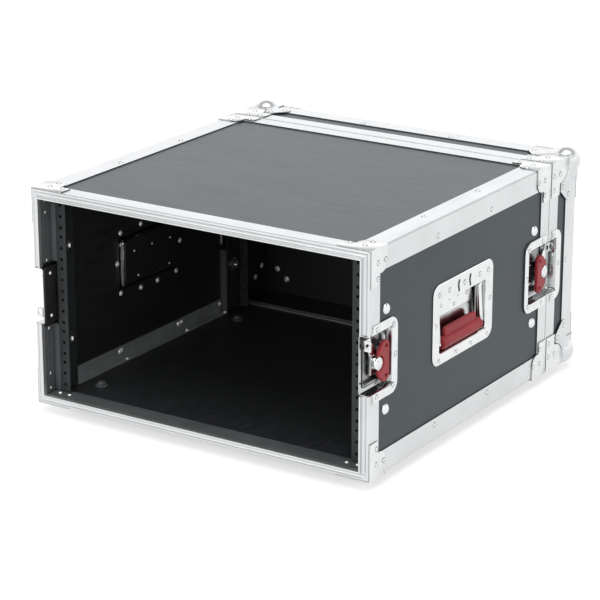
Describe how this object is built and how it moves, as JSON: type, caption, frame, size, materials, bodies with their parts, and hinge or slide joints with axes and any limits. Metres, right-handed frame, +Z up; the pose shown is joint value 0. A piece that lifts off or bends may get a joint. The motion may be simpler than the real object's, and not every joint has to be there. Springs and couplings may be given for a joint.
{
  "type": "equipment rack case",
  "caption": "Open-front rack transport case with punched rack rails, removable rear lid, recessed turn latches, sprung side handles and ball corners.",
  "frame": {"origin": "on the ground under the centre of the case's footprint", "axes": "+Y from the open front to the rear lid, +X to the right seen from the front, +Z up"},
  "size_m": [0.542, 0.5704, 0.3265],
  "materials": {
    "laminate": "satin laminate",
    "edging": "satin anodised",
    "zinc_steel": "bright zinc plate",
    "chrome": "polished",
    "dark_steel": "dark grey powder coat",
    "black_ply": "black stain",
    "red_plastic": "fine texture",
    "red_rubber": "satin",
    "black_rubber": "matt"
  },
  "bodies": {
    "case": {"body_top_panel": "laminate", "body_bottom_panel": "laminate", "body_left_panel": "laminate", "body_right_panel": "laminate", "edge_angles_top": "edging", "edge_angles_bottom": "edging", "front_frame_top": "edging", "front_frame_bottom": "edging", "front_frame_left": "edging", "front_frame_right": "edging", "rear_frame_rails": "edging", "front_corner_braces": "zinc_steel", "rear_corner_braces": "zinc_steel", "body_rivets": "zinc_steel", "hardware_rivets": "zinc_steel", "inner_rivet_tails": "zinc_steel", "rack_rail_front_left": "dark_steel", "rack_rail_front_right": "dark_steel", "rack_rails_rear": "dark_steel", "rail_packers": "black_ply", "rail_fasteners": "zinc_steel", "front_liner_strips": "dark_steel", "floor_angle_strips": "dark_steel", "rubber_feet": "black_rubber", "foot_fasteners": "zinc_steel", "handle_dish_left": "chrome", "handle_dish_right": "chrome", "handle_covers": "dark_steel", "handle_springs": "chrome", "latch_dishes_front": "chrome", "latch_dishes_rear": "chrome", "latch_bases": "chrome", "latch_springs": "chrome", "latch_covers": "dark_steel"},
    "lid": {"lid_back_panel": "laminate", "lid_rim_panels": "laminate", "lid_frame_rails": "edging", "lid_edge_angles": "edging", "ball_corners": "zinc_steel", "lid_corner_braces": "zinc_steel", "lid_rivets": "zinc_steel", "lid_latch_dishes": "chrome", "lid_keepers": "chrome"},
    "claw_front_left": {"latch_claw_front_left": "chrome"},
    "cap_front_left": {"latch_cap_front_left": "chrome"},
    "wing_front_left": {"latch_wing_front_left": "red_plastic"},
    "claw_rear_left": {"latch_claw_rear_left": "chrome"},
    "cap_rear_left": {"latch_cap_rear_left": "chrome"},
    "wing_rear_left": {"latch_wing_rear_left": "red_plastic"},
    "claw_front_right": {"latch_claw_front_right": "chrome"},
    "cap_front_right": {"latch_cap_front_right": "chrome"},
    "wing_front_right": {"latch_wing_front_right": "red_plastic"},
    "claw_rear_right": {"latch_claw_rear_right": "chrome"},
    "cap_rear_right": {"latch_cap_rear_right": "chrome"},
    "wing_rear_right": {"latch_wing_rear_right": "red_plastic"},
    "handle_left": {"handle_bail_left": "chrome", "handle_grip_left": "red_rubber"},
    "handle_right": {"handle_bail_right": "chrome", "handle_grip_right": "red_rubber"}
  },
  "joints": [
    {"name": "lid_pull", "type": "slide", "parent": "case", "child": "lid", "axis": [0, 1, 0], "range_m": [0, 0.15]},
    {"name": "claw_slide_front_left", "type": "slide", "parent": "case", "child": "claw_front_left", "axis": [0, -1, 0], "range_m": [0, 0.02401]},
    {"name": "cap_turn_front_left", "type": "hinge", "parent": "claw_front_left", "child": "cap_front_left", "pos_m": [-0.2575, -0.25275, 0.173], "axis": [-1, 0, 0], "range_deg": [0, 180]},
    {"name": "wing_flip_front_left", "type": "hinge", "parent": "cap_front_left", "child": "wing_front_left", "pos_m": [-0.259, -0.25275, 0.173], "axis": [0, 0, 1], "range_deg": [0, 180]},
    {"name": "claw_slide_rear_left", "type": "slide", "parent": "case", "child": "claw_rear_left", "axis": [0, -1, 0], "range_m": [0, 0.02401]},
    {"name": "cap_turn_rear_left", "type": "hinge", "parent": "claw_rear_left", "child": "cap_rear_left", "pos_m": [-0.2575, 0.19225, 0.173], "axis": [1, 0, 0], "range_deg": [0, 180]},
    {"name": "wing_flip_rear_left", "type": "hinge", "parent": "cap_rear_left", "child": "wing_rear_left", "pos_m": [-0.259, 0.19225, 0.173], "axis": [0, 0, -1], "range_deg": [0, 180]},
    {"name": "claw_slide_front_right", "type": "slide", "parent": "case", "child": "claw_front_right", "axis": [0, -1, 0], "range_m": [0, 0.02401]},
    {"name": "cap_turn_front_right", "type": "hinge", "parent": "claw_front_right", "child": "cap_front_right", "pos_m": [0.2575, -0.25275, 0.165], "axis": [1, 0, 0], "range_deg": [0, 180]},
    {"name": "wing_flip_front_right", "type": "hinge", "parent": "cap_front_right", "child": "wing_front_right", "pos_m": [0.259, -0.25275, 0.165], "axis": [0, 0, -1], "range_deg": [0, 180]},
    {"name": "claw_slide_rear_right", "type": "slide", "parent": "case", "child": "claw_rear_right", "axis": [0, -1, 0], "range_m": [0, 0.02401]},
    {"name": "cap_turn_rear_right", "type": "hinge", "parent": "claw_rear_right", "child": "cap_rear_right", "pos_m": [0.2575, 0.19225, 0.165], "axis": [-1, 0, 0], "range_deg": [0, 180]},
    {"name": "wing_flip_rear_right", "type": "hinge", "parent": "cap_rear_right", "child": "wing_rear_right", "pos_m": [0.259, 0.19225, 0.165], "axis": [0, 0, 1], "range_deg": [0, 180]},
    {"name": "handle_swing_left", "type": "hinge", "parent": "case", "child": "handle_left", "pos_m": [-0.2535, -0.04225, 0.196], "axis": [0, 1, 0], "range_deg": [0, 90], "stiffness_Nm_per_rad": 0.08, "springref_deg": -20.05},
    {"name": "handle_swing_right", "type": "hinge", "parent": "case", "child": "handle_right", "pos_m": [0.2535, -0.04225, 0.196], "axis": [0, -1, 0], "range_deg": [0, 90], "stiffness_Nm_per_rad": 0.08, "springref_deg": -20.05}
  ],
  "couplings": [
    {"joint": "claw_slide_front_left", "follows": "cap_turn_front_left", "m_per_rad": 0.0076394},
    {"joint": "claw_slide_rear_left", "follows": "cap_turn_rear_left", "m_per_rad": 0.0076394},
    {"joint": "claw_slide_front_right", "follows": "cap_turn_front_right", "m_per_rad": 0.0076394},
    {"joint": "claw_slide_rear_right", "follows": "cap_turn_rear_right", "m_per_rad": 0.0076394}
  ]
}
